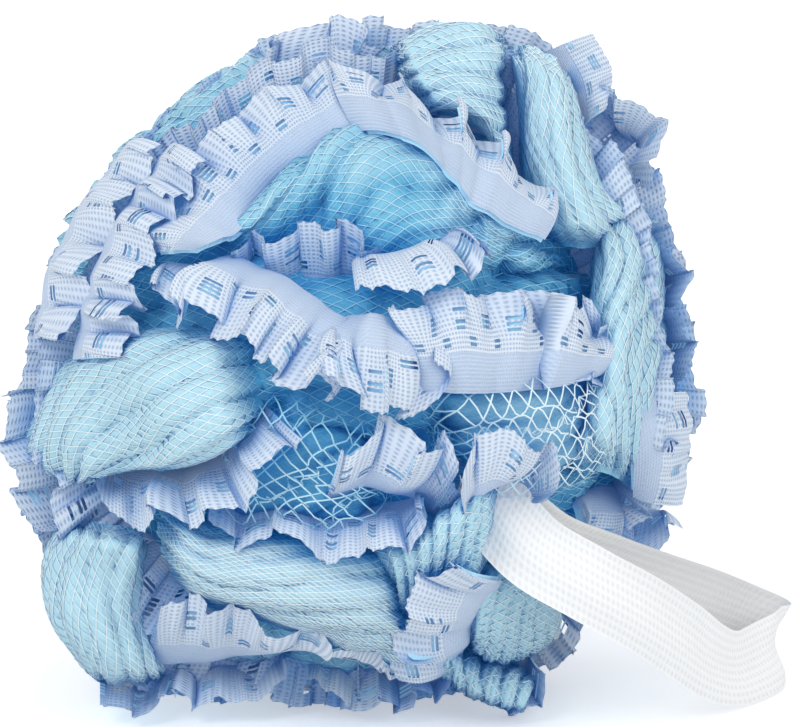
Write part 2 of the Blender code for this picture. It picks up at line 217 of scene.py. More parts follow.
def smooth_step(value):
    value = np.clip(value, 0.0, 1.0)
    return value * value * (3.0 - 2.0 * value)


def wander(along, pitch, seed):
    """A slow drift between about -1 and 1, as hand-gathered cloth has."""
    draws = np.random.default_rng(seed)
    total = np.zeros_like(along)
    for _ in range(DRIFT_WAVES):
        total += np.sin(2.0 * math.pi * (along / (pitch * draws.uniform(*DRIFT_SPREAD)) + draws.uniform()))
    return total * DRIFT_SIZE


def outline_growth(angle):
    """How far the ball reaches in a direction across its front, as a share of its plain radius."""
    degrees = np.degrees(angle)
    turns = (-OUTLINE_BLUR_DEG, 0.0, OUTLINE_BLUR_DEG)
    reach = [np.interp(degrees + turn, OUTLINE_DEG, OUTLINE_MM, period=360.0) for turn in turns]
    return np.mean(reach, axis=0) / (BALL * 1000.0)


def settle(points):
    """The floor presses flat what would hang below it."""
    over = np.maximum(points[..., 2] - REST_HEIGHT, 0.0)
    pressed = over**2 / (2.0 * REST_SOFTNESS) + LOWEST
    points[..., 2] = np.where(over < REST_SOFTNESS, pressed, points[..., 2])
    return points


def in_room(points):
    """From the ball's own across, up and out to the room."""
    return settle(points @ AXES + CENTRE)


def stand(points):
    """The same, with the pouf's uneven outline and flattened front."""
    points = points.copy()
    size = np.maximum(np.linalg.norm(points, axis=-1), 1e-9)
    growth = outline_growth(np.arctan2(points[..., 1], points[..., 0])) - 1.0
    growth = growth * smooth_step(np.hypot(points[..., 0], points[..., 1]) / size - OUTLINE_FADE)
    growth = growth * smooth_step((size / BALL - OUTLINE_START) / OUTLINE_RAMP)
    ahead = smooth_step(points[..., 2] / size)
    outer = np.clip((size / BALL - FLATTENING_START) / (1.0 - FLATTENING_START), 0.0, 1.0)
    points[..., :2] *= (1.0 + growth)[..., None]
    points[..., 2] -= FRONT_FLATTENING * ahead * outer
    return in_room(points)


def cloth_object(name, points, faces, flat_places, finish):
    """A sheet from points, four-cornered faces and each point's place on the flat cloth, in metres."""
    mesh = bpy.data.meshes.new(name)
    mesh.vertices.add(len(points))
    mesh.vertices.foreach_set("co", points.astype(np.float32).ravel())
    mesh.loops.add(len(faces) * 4)
    mesh.loops.foreach_set("vertex_index", faces.astype(np.int32).ravel())
    mesh.polygons.add(len(faces))
    mesh.polygons.foreach_set("loop_start", np.arange(0, len(faces) * 4, 4, dtype=np.int32))
    mesh.polygons.foreach_set("loop_total", np.full(len(faces), 4, np.int32))
    mesh.update(calc_edges=True)
    layer = mesh.uv_layers.new(name="cloth")
    layer.data.foreach_set("uv", flat_places[faces.ravel()].astype(np.float32).ravel())
    mesh.shade_smooth()
    mesh.materials.append(finish)
    thing = bpy.data.objects.new(name, mesh)
    bpy.context.scene.collection.objects.link(thing)
    return thing


def grid_faces(rows, columns):
    first = (np.arange(rows - 1)[:, None] * columns + np.arange(columns - 1)[None, :]).ravel()
    return np.column_stack([first, first + 1, first + columns + 1, first + columns])


class Cloth:
    """Lengths of one cloth, gathered up until they are made one sheet."""

    def __init__(self):
        self.points, self.faces, self.flat, self.count = [], [], [], 0

    def add(self, points, faces, flat):
        self.points.append(points.reshape(-1, 3))
        self.flat.append(flat.reshape(-1, 2))
        self.faces.append(faces + self.count)
        self.count += points.reshape(-1, 3).shape[0]

    def finish(self, name, finish):
        return cloth_object(name, np.vstack(self.points), np.vstack(self.faces), np.vstack(self.flat), finish)


def node_group(name, takes, gives):
    """A group of shader nodes that takes and gives plain numbers."""
    group = bpy.data.node_groups.new(name, "ShaderNodeTree")
    for label, value in takes.items():
        socket = group.interface.new_socket(label, in_out="INPUT", socket_type="NodeSocketFloat")
        socket.default_value = value
    for label in gives:
        group.interface.new_socket(label, in_out="OUTPUT", socket_type="NodeSocketFloat")
    return group, group.nodes.new("NodeGroupInput"), group.nodes.new("NodeGroupOutput")


def math_node(group, work, first, second=None, clamp=False):
    made = group.nodes.new("ShaderNodeMath")
    made.operation = work
    made.use_clamp = clamp
    for slot, value in enumerate((first, second)):
        if value is None:
            continue
        if isinstance(value, (int, float)):
            made.inputs[slot].default_value = value
        else:
            group.links.new(value, made.inputs[slot])
    return made.outputs[0]


# Painted shade: the finishes make their colour darker and bluer by this depth, the deeper in the more.
def depth_for_painted_shade():
    """How far out of the ball a place is, from 0 deep in the folds to 1 at the face, with soft unevenness."""
    takes = {"Inner": 0.045, "Outer": 0.066, "Drift": 0.15}
    group, given, result = node_group("painted_shade_depth", takes, ["Depth"])
    place = group.nodes.new("ShaderNodeTexCoord")
    away = group.nodes.new("ShaderNodeVectorMath")
    away.operation = "DISTANCE"
    away.inputs[1].default_value = CENTRE.tolist()
    group.links.new(place.outputs["Object"], away.inputs[0])
    cloud = group.nodes.new("ShaderNodeTexNoise")
    cloud.inputs["Scale"].default_value = 90.0
    group.links.new(place.outputs["Object"], cloud.inputs["Vector"])
    span = math_node(group, "SUBTRACT", given.outputs["Outer"], given.outputs["Inner"])
    rise = math_node(group, "SUBTRACT", away.outputs["Value"], given.outputs["Inner"])
    share = math_node(group, "DIVIDE", rise, span)
    cloudy = math_node(group, "SUBTRACT", cloud.outputs["Fac"], 0.5)
    uneven = math_node(group, "MULTIPLY", cloudy, given.outputs["Drift"])
    total = math_node(group, "ADD", share, uneven, clamp=True)
    group.links.new(total, result.inputs["Depth"])
    return group


def flat_place(group):
    """Where a place lies on the flat cloth, along it and across it, in metres."""
    flat = group.nodes.new("ShaderNodeUVMap")
    flat.uv_map = "cloth"
    parts = group.nodes.new("ShaderNodeSeparateXYZ")
    group.links.new(flat.outputs["UV"], parts.inputs[0])
    return parts.outputs["X"], parts.outputs["Y"]


def knit_lines():
    """The fine wavy rows of closed-up netting."""
    group, given, result = node_group("knit_lines", {"Row pitch": 0.0009, "Wale pitch": 0.0024}, ["Line"])
    along, across = flat_place(group)
    wales = math_node(group, "DIVIDE", along, given.outputs["Wale pitch"])
    wave = math_node(group, "SINE", math_node(group, "MULTIPLY", wales, 2 * math.pi))
    rows = math_node(group, "DIVIDE", across, given.outputs["Row pitch"])
    shifted = math_node(group, "ADD", rows, math_node(group, "MULTIPLY", wave, 0.35))
    line = math_node(group, "SINE", math_node(group, "MULTIPLY", shifted, 2 * math.pi))
    half = math_node(group, "MULTIPLY", math_node(group, "ADD", line, 1.0), 0.5)
    group.links.new(math_node(group, "POWER", half, 1.5), result.inputs["Line"])
    return group


PAINTED_SHADE_DEPTH = depth_for_painted_shade()
KNIT_LINES = knit_lines()


def place_group(made, group, **values):
    node = made.node_tree.nodes.new("ShaderNodeGroup")
    node.node_tree = group
    for label, value in values.items():
        node.inputs[label.replace("_", " ")].default_value = value
    return node


def blend(made, share, first, second, amount=1.0):
    """The first colour, going over to the second by a share that the amount can weaken."""
    links = made.node_tree.links
    if amount < 1.0:
        less = made.node_tree.nodes.new("ShaderNodeMath")
        less.operation = "MULTIPLY"
        less.inputs[1].default_value = amount
        links.new(share, less.inputs[0])
        share = less.outputs[0]
    node = made.node_tree.nodes.new("ShaderNodeMix")
    node.data_type = "RGBA"
    links.new(share, node.inputs["Factor"])
    sockets = [s for s in node.inputs if s.type == "RGBA"]
    for socket, value in zip(sockets, (first, second)):
        if isinstance(value, tuple):
            socket.default_value = (*value, 1.0)
        else:
            links.new(value, socket)
    return [s for s in node.outputs if s.type == "RGBA"][0]


# Painted shade: this mask turns colour to a deep blue in crevices between folds.
def crevice_shade_mask(made, reach, open_from):
    """How open a place is: 0 deep in a crevice between folds, 1 where few folds are within reach."""
    node = made.node_tree.nodes.new("ShaderNodeAmbientOcclusion")
    node.samples = CREVICE_SAMPLES
    node.inputs["Distance"].default_value = reach
    return ramp(made, node.outputs["AO"], ((CREVICE_DARK, (0.0, 0.0, 0.0)), (open_from, (1.0, 1.0, 1.0))))


def show_colour_with_painted_glow(made, colour, glow):
    """Shows a colour, with painted light: a faint glow in that colour, which brightens the cloth and lightens its
    shade.
    """
    links, shader = made.node_tree.links, made.node_tree.nodes["Principled BSDF"]
    links.new(colour, shader.inputs["Base Color"])
    links.new(colour, shader.inputs["Emission Color"])
    shader.inputs["Emission Strength"].default_value = glow


def netting_finish(name, deep, middle, crest, line_share, roughness=0.45, reach=0.011, glow=0.07):
    """Aqua netting in knitted rows, painted with shade: deep blue far down in folds and crevices, nearly white on
    crests.
    """
    made, _ = new_finish(name, roughness, gloss=0.35, sheen=0.12)
    depth = place_group(made, PAINTED_SHADE_DEPTH, Inner=0.048, Outer=0.066, Drift=0.3).outputs["Depth"]
    knit = place_group(made, KNIT_LINES).outputs["Line"]
    body = ramp(made, depth, ((0.0, deep), (0.5, middle), (1.0, crest)))
    lines = ramp(made, depth, ((0.0, deep), (0.35, middle), (0.8, crest)))
    lined = blend(made, knit, body, lines, line_share)
    # Painted shade: in crevices the colour goes over to the deep one; the glow is painted light.
    show_colour_with_painted_glow(made, blend(made, crevice_shade_mask(made, reach, 0.72), deep, lined), glow)
    raise_threads(made, knit, 0.3, 0.0003)
    return made


# Painted shade: the bunched netting is a darker, bluer copy of the aqua netting.
SHADED_HEART_NET = netting_finish("heart_netting_painted_shade", (0.0, 0.13, 0.42), (0.02, 0.3, 0.6), (0.1, 0.48, 0.72), 0.12)


def bunched_netting():
    """One closed crumple round the tie: a ball with deep folds that run from its back to its front."""
    turns = np.linspace(0.0, 2.0 * math.pi, HEART_COLUMNS)
    polar = np.linspace(HEART_POLE, math.pi - HEART_POLE, HEART_ROWS)
    turn, lean = np.meshgrid(turns, polar)
    ripple = np.abs(np.sin(turn * HEART_FOLDS + 1.3 * np.sin(lean * 3.0 + 2.0 * np.sin(turn))))
    ripple = ripple * (HEART_CALM + (1.0 - HEART_CALM) * np.sin(lean * 7.0 + 3.0 * np.sin(turn * 2.0)) ** 2)
    reach = HEART_RADIUS - HEART_FOLD * (1.0 - ripple)
    toward = np.stack([np.sin(lean) * np.cos(turn), np.sin(lean) * np.sin(turn), np.cos(lean)], axis=-1)
    points = stand(toward * reach[..., None])
    flat = np.stack([turn * HEART_RADIUS, lean * HEART_RADIUS], axis=-1)
    faces = grid_faces(*turn.shape)
    return cloth_object("bunched_netting", points.reshape(-1, 3), faces, flat.reshape(-1, 2), SHADED_HEART_NET)


heart = bunched_netting()
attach(heart, "root")


# The nettings
# Two long strips of knitted plastic netting, aqua like the bunched part. Their roots run down to the tie, and their
# outer edges are sewn to the lace. The back strip keeps regular folds. The front one also bellies out between its
# lace, where its yarns show one by one.
LACE_WIDTH = 0.0192
EDGE_FLARE, SEAM_FLARE = 0.015, 0.0035
FLARE_START, FLARE_GROWTH, FLARE_ACROSS, FLARE_LINE, FLARE_RAMP, FLARE_FADE = 0.55, 2.2, 0.55, -0.06, 0.3, 0.62
PLAIT_LENGTH, PLAIT_DEPTH, PLAIT_START, PLAIT_GROWTH = 0.0208, 0.003, 0.45, 1.3
EDGE_SCALLOP, END_DIP = 0.0011, 0.008
TURN_WINDOW, TIGHT_TURN = 0.036, 7.0
GATHER_PITCH, GATHER_DRIFT = 0.009, 0.45
RIPPLE_HEIGHT, RIPPLE_DRIFT, SWAY, EDGE_DRIFT = 0.0022, 0.0009, 0.0013, 0.0012
NET_STEP, NET_ROWS, YARNS_FROM = 0.0014, 14, 6
BACK_SEED, FRONT_SEED = 5, 15
SPLINE_STEPS = 24
FRONT, BACK = np.array([1.0, 1.0, 1.0]), np.array([-1.0, 1.0, -1.0])
OUTER_RING_DEG, INNER_RING_DEG = 81.5, 61.5
OUTER_RING, INNER_RING = (-60, -381, -16), (-374, -105, 16)
BACK_FOLDS_MM = (
    (-5, -54), (8, -51), (16, -45), (18, -36), (13, -27), (7, -25), (-6, -29), (-20, -28), (-33, -23), (-44, -16),
    (-45, -6), (-34, -6), (-21, -13), (-7, -17), (8, -14), (22, -11), (36, -13), (46, -9), (46, 1), (36, 1), (22, -1),
    (8, -4), (-7, -6), (-21, -2), (-34, 4), (-42, 11), (-33, 15), (-21, 10), (-7, 6), (7, 6), (21, 8), (35, 11),
    (46, 12), (46, 22), (36, 21), (23, 18), (9, 16), (-5, 17), (-19, 21), (-31, 25), (-30, 35), (-22, 41), (-11, 46),
    (1, 47), (12, 43), (21, 35), (31, 31), (40, 35), (35, 44), (24, 50), (12, 54),
)  # fmt: skip


def from_zero(steps):
    """Where each step ends, from 0 at the start of the first one."""
    return np.concatenate([[0.0], np.cumsum(steps)])


def step_lengths(points):
    return np.linalg.norm(np.diff(points, axis=0), axis=1)


def mean_steps(grid):
    """The mean steps along a grid of points, and those across it."""
    along = np.linalg.norm(np.diff(grid, axis=1), axis=2).mean(axis=0)
    return along, np.linalg.norm(np.diff(grid, axis=0), axis=2).mean(axis=1)


def spline(points, spacing=None, count=None):
    """Points along a smooth curve through the given ones."""
    points = np.asarray(points, float)
    padded = np.vstack([2 * points[0] - points[1], points, 2 * points[-1] - points[-2]])
    steps = np.linspace(0.0, 1.0, SPLINE_STEPS, endpoint=False)[:, None]
    fine = []
    for before, start, end, after in zip(padded, padded[1:], padded[2:], padded[3:]):
        fine.append(
            0.5
            * (
                2 * start
                + (end - before) * steps
                + (2 * before - 5 * start + 4 * end - after) * steps**2
                + (3 * start - before - 3 * end + after) * steps**3
            )
        )
    fine = np.vstack([*fine, points[-1:]])
    along = from_zero(step_lengths(fine))
    count = count or max(2, round(along[-1] / spacing))
    wanted = np.linspace(0.0, along[-1], count + 1)
    return np.column_stack([np.interp(wanted, along, column) for column in fine.T])


def ring_points(polar_deg, sweep):
    angles = np.radians(np.arange(*sweep))
    reach = BALL * 1000.0 * math.sin(math.radians(polar_deg))
    return np.column_stack([reach * np.cos(angles), reach * np.sin(angles)])


def front_directions(places_mm):
    flat = np.asarray(places_mm, float) / (BALL * 1000.0)
    return np.column_stack([flat, np.sqrt(np.clip(1.0 - (flat**2).sum(axis=1), 0.0, 1.0))])


def flare_fade(toward):
    return smooth_step(toward[..., 2] / FLARE_FADE)


def lie_over(toward, level):
    """Sheets lie over away from a level line at mid height, more the further out they are."""
    share = np.clip((level / BALL - FLARE_START) / (1.0 - FLARE_START), 0.0, 1.0)
    angle = (SEAM_FLARE * share + (EDGE_FLARE - SEAM_FLARE) * share**FLARE_GROWTH) / BALL
    pull = np.stack([FLARE_ACROSS * toward[..., 0], toward[..., 1] - FLARE_LINE, np.zeros_like(level)], axis=-1)
    size = np.linalg.norm(pull, axis=-1, keepdims=True)
    pull = pull / np.maximum(size, 1e-9) * smooth_step(size / FLARE_RAMP) * flare_fade(toward)[..., None]
    pull = pull - (pull * toward).sum(axis=-1, keepdims=True) * toward
    return unit(toward + pull * angle[..., None])


def strip_surface(toward, shares, lace, facing, seed):
    """A strip's points. Its shares run across the lace, or else across the netting from its root to the seam."""
    count = len(toward)
    tangent = unit(np.gradient(toward, axis=0))
    side = unit(np.cross(toward, tangent))
    along = from_zero(step_lengths(toward)) * BALL
    phase = along / PLAIT_LENGTH * 2.0 * math.pi + math.pi / 4
    turn = np.linalg.norm(np.gradient(tangent, axis=0), axis=1) / np.maximum(np.gradient(along), 1e-9) * BALL
    window = max(3, round(TURN_WINDOW / (along[-1] / count)))
    turn = np.convolve(np.pad(turn, window // 2, mode="edge"), np.ones(window) / window, mode="same")
    turn = turn[window // 2 : window // 2 + count]
    tight = 1.0 / (1.0 + (turn / TIGHT_TURN) ** 2)
    from_end = np.minimum(along, along[-1] - along) / PLAIT_LENGTH
    edge = BALL - END_DIP * (1.0 - smooth_step(from_end)) + EDGE_SCALLOP * np.cos(phase * 0.5)
    travel = (EDGE_FLARE - SEAM_FLARE) * flare_fade(toward)
    seam = edge - np.sqrt(LACE_WIDTH**2 - travel**2)
    start, end = (seam, edge) if lace else (np.full(count, TIE_REACH), seam)
    shares = np.asarray(shares)[:, None]
    level = start + shares * (end - start)
    grown = np.clip((level / BALL - PLAIT_START) / (1.0 - PLAIT_START), 0.0, 1.0) ** PLAIT_GROWTH
    gather = GATHER_PITCH * (1.0 + GATHER_DRIFT * wander(along, 0.05, seed))
    small = 2.0 * math.pi * np.cumsum(np.gradient(along) / gather)
    ripple = (RIPPLE_HEIGHT + RIPPLE_DRIFT * wander(along, 0.03, seed + 1)) * np.sin(small)
    sway = SWAY * np.sin(2.0 * small + wander(along, 0.04, seed + 2) * 2.0)
    offset = side * ((PLAIT_DEPTH * tight * np.sin(phase) + ripple)[None, :] * grown)[..., None]
    offset = offset + tangent * (sway[None, :] * grown)[..., None]
    direction = unit(toward[None] + offset / BALL)
    level = level + (EDGE_DRIFT * wander(along, 0.012, seed + 3))[None, :] * grown
    return stand(lie_over(direction, level) * level[..., None] * facing)


def strip_places(folds):
    """A strip's way over its half of the ball: twice round the rim, and then along its folds."""
    rings = [ring_points(OUTER_RING_DEG, OUTER_RING), ring_points(INNER_RING_DEG, INNER_RING)]
    return front_directions(np.vstack(rings + ([folds] if folds is not None else [])))


def yarn_layer(cloth, grid, across, along, thick, lift):
    """The yarns of open netting over a grid of points: diamond cells, each yarn a thin flat strip in two halves."""
    steps, rises = mean_steps(grid)
    length, width = from_zero(steps), from_zero(rises)
    columns = max(2, round(length[-1] / along))
    rows = max(2, round(width[-1] / across))
    normal = unit(np.cross(np.gradient(grid, axis=1), np.gradient(grid, axis=0)))
    if (normal * (grid - CENTRE)).sum(axis=-1).mean() < 0.0:
        normal = -normal
    row, column = np.meshgrid(np.arange(rows + 1), np.arange(columns), indexing="ij")
    place_u = (column + 0.5 * (row % 2)) / columns * length[-1]
    place_v = row / rows * width[-1]

    def place_on(at_v, at_u):
        i = np.clip(np.interp(at_v, width, np.arange(len(width))), 0, len(width) - 1.001)
        j = np.clip(np.interp(at_u, length, np.arange(len(length))), 0, len(length) - 1.001)
        i0, j0 = i.astype(int), j.astype(int)
        fi, fj = (i - i0)[..., None], (j - j0)[..., None]
        found = []
        for field in (grid, normal):
            low = field[i0, j0] * (1 - fj) + field[i0, j0 + 1] * fj
            high = field[i0 + 1, j0] * (1 - fj) + field[i0 + 1, j0 + 1] * fj
            found.append(low * (1 - fi) + high * fi)
        return found[0], unit(found[1])

    knots, facing = place_on(place_v, place_u)
    knots = knots + facing * lift
    for r in range(rows):
        for hop in ((0, -1), (1, 0))[r % 2]:
            first = np.arange(columns)
            second = first + hop
            fine = (second >= 0) & (second < columns)
            first, second = first[fine], second[fine]
            start, end, way = knots[r, first], knots[r + 1, second], facing[r, first]
            at_v = (place_v[r, first] + place_v[r + 1, second]) / 2
            at_u = (place_u[r, first] + place_u[r + 1, second]) / 2
            half, half_way = place_on(at_v, at_u)
            half = half + half_way * lift
            side = unit(np.cross(end - start, way)) * thick / 2
            corners = [start - side, start + side, half + side, half - side, end + side, end - side]
            corners = np.stack(corners, axis=1)
            corners[..., 2] = np.maximum(corners[..., 2], LOWEST)
            base = np.arange(len(start))[:, None] * 6
            faces = np.concatenate([base + [0, 1, 2, 3], base + [3, 2, 4, 5]])
            cloth.add(corners, faces, np.zeros((len(start) * 6, 2)))


def add_grid(cloth, grid):
    steps, rises = mean_steps(grid)
    flat = np.stack(np.meshgrid(from_zero(steps), from_zero(rises)), axis=-1)
    cloth.add(grid, grid_faces(*grid.shape[:2]), flat)


# Painted shade: each netting runs from deep blue far in to nearly white on the crests, and its yarns likewise.
NET = netting_finish("aqua_netting", (0.0, 0.17, 0.5), (0.12, 0.48, 0.72), (0.47, 0.75, 0.86), 0.36)
SHEER = netting_finish("aqua_yarn", (0.03, 0.33, 0.64), (0.38, 0.72, 0.86), (0.78, 0.92, 0.95), 0.0, 0.35)

NET_SHARES = np.linspace(0.0, 1.0, NET_ROWS)
back_way = unit(spline(strip_places(BACK_FOLDS_MM), NET_STEP / BALL))
front_way = unit(spline(strip_places(None), NET_STEP / BALL))
back_net, back_yarn, front_net, front_yarn = Cloth(), Cloth(), Cloth(), Cloth()
back_sheet = strip_surface(back_way, NET_SHARES, False, BACK, BACK_SEED)
front_sheet = strip_surface(front_way, NET_SHARES, False, FRONT, FRONT_SEED)
add_grid(back_net, back_sheet)
add_grid(front_net, front_sheet)
for sheet_points, yarn in ((back_sheet[YARNS_FROM:], back_yarn), (front_sheet[YARNS_FROM:], front_yarn)):
    yarn_layer(yarn, sheet_points, across=0.001, along=0.0044, thick=0.00022, lift=0.0002)

FACE_RADIUS, LEAST_FACE = 0.065, 0.016
PATCH_COLUMNS, PATCH_ROWS, PATCH_END = 90, 62, 0.16
RIM_REACH, RIM_DROP = 0.0022, 0.011
BROAD_HEIGHT, FINE_HEIGHT, FINE_PITCH = 1.5, 0.55, 0.34


def face_height(flat_places):
    """How far the ball's front face stands out at places across and up it."""
    return np.sqrt(np.maximum(FACE_RADIUS**2 - (flat_places**2).sum(axis=1), LEAST_FACE**2))


def on_front(places_mm):
    """Places across and up the ball's front, and how far they lift off its face, in its own frame in metres."""
    places = np.asarray(places_mm, float) / 1000.0
    return np.column_stack([places[:, :2], face_height(places[:, :2]) + places[:, 2]])


def facing_front(normal):
    return -normal if normal[..., 2].mean() < 0.0 else normal


def net_belly(lines_mm, pitch, height, slant, seed, cell=(0.001, 0.004), thick=0.00021, lift=0.00012):
    """A stretch of netting that bellies out between lines, with fold ridges. Its rim dips behind the lace."""
    lines = [spline(on_front(line), count=PATCH_COLUMNS) for line in lines_mm]
    rims = [unit(lines[0] - lines[1]) * RIM_REACH, unit(lines[-1] - lines[-2]) * RIM_REACH]
    for rim in rims:
        rim[:, 2] = -RIM_DROP
    lines = np.stack([lines[0] + rims[0], *lines, lines[-1] + rims[1]])
    number = np.arange(PATCH_COLUMNS + 1)
    from_end = np.minimum(number, number[::-1]) / (PATCH_END * PATCH_COLUMNS)
    lines[..., 2] -= (RIM_DROP * (1.0 - smooth_step(from_end)) ** 2)[None]
    grid = np.stack([spline(lines[:, k], count=PATCH_ROWS) for k in number], axis=1)
    steps, rises = mean_steps(grid)
    u = np.linspace(0.0, steps.sum(), grid.shape[1])
    v = np.linspace(0.0, rises.sum(), grid.shape[0])
    cross = v[:, None] * math.cos(slant) + u[None, :] * math.sin(slant)
    drift = 0.6 * wander(u, 0.06, seed)[None, :] + 0.4 * wander(v, 0.04, seed + 1)[:, None]
    ridge = BROAD_HEIGHT * (np.abs(np.sin(math.pi * (cross / pitch + drift))) ** 0.6 - 0.6)
    finer = wander(u, 0.03, seed + 2)[None, :] + wander(v, 0.02, seed + 3)[:, None]
    turns = cross / (pitch * FINE_PITCH) + 1.3 * drift + 0.5 * finer
    small = FINE_HEIGHT * (np.abs(np.sin(math.pi * turns)) ** 0.7 - 0.5)
    normal = facing_front(unit(np.cross(np.gradient(grid, axis=1), np.gradient(grid, axis=0))))
    points = in_room(grid + normal * ((ridge + small) * height)[..., None])
    add_grid(front_net, points)
    yarn_layer(front_yarn, points, *cell, thick, lift)


# fmt: off
# deep netting behind everything at the front
net_belly((
    ((-56, 24, -17), (-30, 50, -17), (0, 58, -17), (30, 50, -17), (56, 24, -17)),
    ((-60, 2, -15), (-30, 18, -15), (0, 22, -15), (30, 18, -15), (60, 2, -15)),
    ((-60, -10, -15), (-30, -10, -15), (0, -12, -15), (30, -10, -15), (60, -10, -15)),
    ((-56, -24, -17), (-30, -50, -17), (0, -56, -17), (30, -50, -17), (54, -26, -17)),
), 0.014, 0.0042, 0.5, 30, cell=(0.0011, 0.0046))
# under the arch
net_belly((
    ((-29, 22, -6), (-20, 26, -5), (-10, 36, -5), (1, 44, -5), (10, 44, -6), (18, 38, -5), (26, 29, -4),
     (37, 23, -5)),
    ((-27, 20, -11), (-18, 22, -12), (-8, 29, -12), (3, 35, -7), (11, 33, -8), (19, 28, -8), (28, 24, -7),
     (39, 21, -7)),
    ((-25, 17, -15), (-16, 17, -17), (-6, 17, -18), (5, 18, -14), (13, 19, -13), (22, 19, -11), (32, 19, -10),
     (42, 18, -9)),
), 0.011, 0.0018, 0.6, 31)
# the fold of netting at the left
net_belly((
    ((-66, -22, -2), (-60, -10, 2), (-53, -1, 0), (-42, 3, -1), (-30, 4, -2), (-18, 2, -3)),
    ((-62, -22, 4), (-55, -14, 8), (-46, -8, 2), (-37, -6, 7), (-27, -6, 5), (-17, -3, 0)),
    ((-58, -24, 3), (-51, -21, 6), (-43, -19, 1), (-33, -18, 6), (-24, -15, 4), (-17, -9, -1)),
), 0.009, 0.0013, 0.25, 32)
# the broad smooth billow at the bottom
net_belly((
    ((-37, -29, -5), (-28, -34, -4), (-18, -35, -3), (-6, -37, -4), (4, -39, -5), (12, -41, -4)),
    ((-37, -35, 2), (-27, -42, 5), (-16, -45, 6), (-4, -48, 6), (8, -51, 5), (13, -54, 3)),
    ((-35, -41, 0), (-27, -47, 1), (-16, -50, 2), (-3, -55, 3), (11, -61, 3), (14, -64, 1)),
), 0.007, 0.001, 0.2, 33, cell=(0.0006, 0.003))
# beside it, up to the loop
net_belly((
    ((4, -38, -4), (14, -34, 0), (22, -28, 2), (29, -25, -2)),
    ((8, -46, 0), (15, -42, 3), (22, -36, 4), (28, -34, 0)),
    ((11, -58, 0), (15, -52, 1), (20, -48, 1), (25, -45, -2)),
), 0.007, 0.0009, 1.2, 34)
# open cells below the middle ruffle
net_belly((
    ((14, -6, -9), (24, -7, -7), (34, -6, -6), (42, -5, -7), (50, -2, -10)),
    ((17, -11, -9), (25, -13, -6), (34, -14, -4), (43, -12, -5), (51, -6, -9)),
    ((18, -16, -12), (26, -20, -9), (35, -21, -7), (44, -18, -8), (51, -11, -12)),
), 0.01, 0.0008, 0.1, 35, cell=(0.0011, 0.0034), thick=0.00032, lift=0.0045)
# open cells over the deep folds left of the middle
net_belly((
    ((-22, -13, -11), (-12, -12, -12), (-2, -15, -11), (6, -18, -12)),
    ((-23, -21, -10), (-13, -22, -10), (-3, -24, -10), (6, -25, -12)),
    ((-24, -28, -11), (-14, -30, -11), (-4, -30, -11), (5, -30, -12)),
), 0.012, 0.001, 0.3, 36, cell=(0.0013, 0.0034), thick=0.00032, lift=0.004)
# the tall fold at the upper right
net_belly((
    ((33, 62, 14), (35, 51, 13), (36, 37, -5), (39, 24, -8)),
    ((38, 61, 20), (40, 49, 21), (43, 34, 6), (48, 22, 4)),
    ((42, 57, 14), (45, 45, 16), (49, 34, 4), (58, 29, 3)),
), 0.009, 0.001, 0.0, 37)
# over the top, left of that fold
net_belly((
    ((9, 60, 8), (17, 64, 14), (25, 64, 16), (31, 61, 12)),
    ((11, 55, 6), (18, 56, 9), (25, 54, 11), (31, 51, 7)),
    ((14, 50, -2), (20, 50, 1), (27, 46, 1), (32, 37, -9)),
), 0.008, 0.0011, 0.3, 38)
# the right side
net_belly((
    ((50, 31, 0), (50, 20, -2), (49, 8, -3), (48, -6, -2), (45, -22, -2)),
    ((55, 31, 3), (55, 20, 4), (54, 8, 5), (53, -6, 4), (50, -22, 3)),
    ((60, 29, 0), (61, 14, 1), (61, 2, 1), (60, -10, 1), (57, -26, 0)),
), 0.008, 0.0011, 0.1, 39)
# under the loop
net_belly((
    ((21, -44, -5), (28, -42, -5), (35, -42, -6), (42, -46, -8)),
    ((22, -52, 2), (29, -51, 3), (36, -50, 1), (42, -51, -2)),
    ((24, -57, 1), (30, -59, 2), (36, -57, 0), (42, -53, -4)),
), 0.008, 0.0008, 1.3, 40)
# the sheer bag at the lower left
net_belly((
    ((-55, -30, 2), (-59, -40, 6), (-58, -50, 8), (-53, -58, 8), (-48, -64, 6)),
    ((-49, -32, 9), (-52, -41, 16), (-51, -50, 17), (-47, -58, 15), (-44, -64, 9)),
    ((-42, -33, 2), (-43, -42, 8), (-42, -51, 10), (-40, -58, 8), (-38, -64, 4)),
), 0.008, 0.001, 0.2, 41)
# the tail under the loop
net_belly((
    ((17, -57, -2), (25, -60, 0), (33, -63, 0), (38, -66, -2)),
    ((17, -61, 0), (24, -65, 2), (31, -68, 2), (36, -70, 0)),
), 0.006, 0.001, 1.2, 42)
# fmt: on

back_netting = back_net.finish("back_netting_sheet", NET)
front_netting = front_net.finish("front_netting_sheet", NET)
back_yarns = back_yarn.finish("back_netting_yarns", SHEER)
front_yarns = front_yarn.finish("front_netting_yarns", SHEER)
for piece in (back_netting, front_netting, back_yarns, front_yarns):
    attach(piece, "root")
for piece in (back_netting, back_yarns):
    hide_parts("back_netting")
for piece in (front_netting, front_yarns):
    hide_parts("front_netting", "front_billow", "front_middle_fold")


